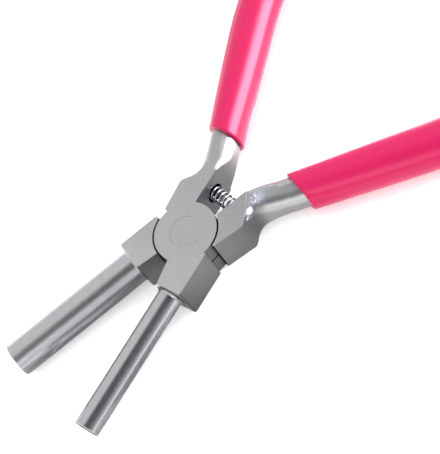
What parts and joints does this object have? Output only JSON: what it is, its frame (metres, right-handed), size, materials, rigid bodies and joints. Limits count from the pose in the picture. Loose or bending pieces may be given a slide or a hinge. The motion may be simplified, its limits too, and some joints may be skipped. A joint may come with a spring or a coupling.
{
  "type": "bail making pliers",
  "caption": "Lap-jointed hand pliers with two smooth round forming mandrels of unequal size, a coil return spring and bowed handles in vinyl sleeves.",
  "frame": {"origin": "where the joint's axis meets the flat back face that the pliers rest on", "axes": "+X along the centre line from the joint towards the mandrels' tips, +Y towards the small mandrel's side, +Z out of the front face along the joint's axis"},
  "size_m": [0.1422, 0.1034, 0.0104],
  "materials": {
    "satin_steel": "fine satin ground steel",
    "polished_steel": "polished steel",
    "rivet_steel": "fine satin ground steel, flush with the joint",
    "spring_wire": "bright plated wire",
    "pink_vinyl": "glossy pink vinyl"
  },
  "bodies": {
    "front_half": {"front_arm": "satin_steel", "small_mandrel": "polished_steel", "joint_rivet": "rivet_steel", "return_spring": "spring_wire", "front_grip": "pink_vinyl"},
    "rear_half": {"rear_arm": "satin_steel", "large_mandrel": "polished_steel", "rear_grip": "pink_vinyl"}
  },
  "joints": [
    {"name": "pivot", "type": "hinge", "parent": "front_half", "child": "rear_half", "pos_m": [0, 0, 0.0052], "axis": [0, 0, 1], "range_deg": [-17, 23], "stiffness_Nm_per_rad": 0.6, "deforming": ["return_spring"]}
  ]
}
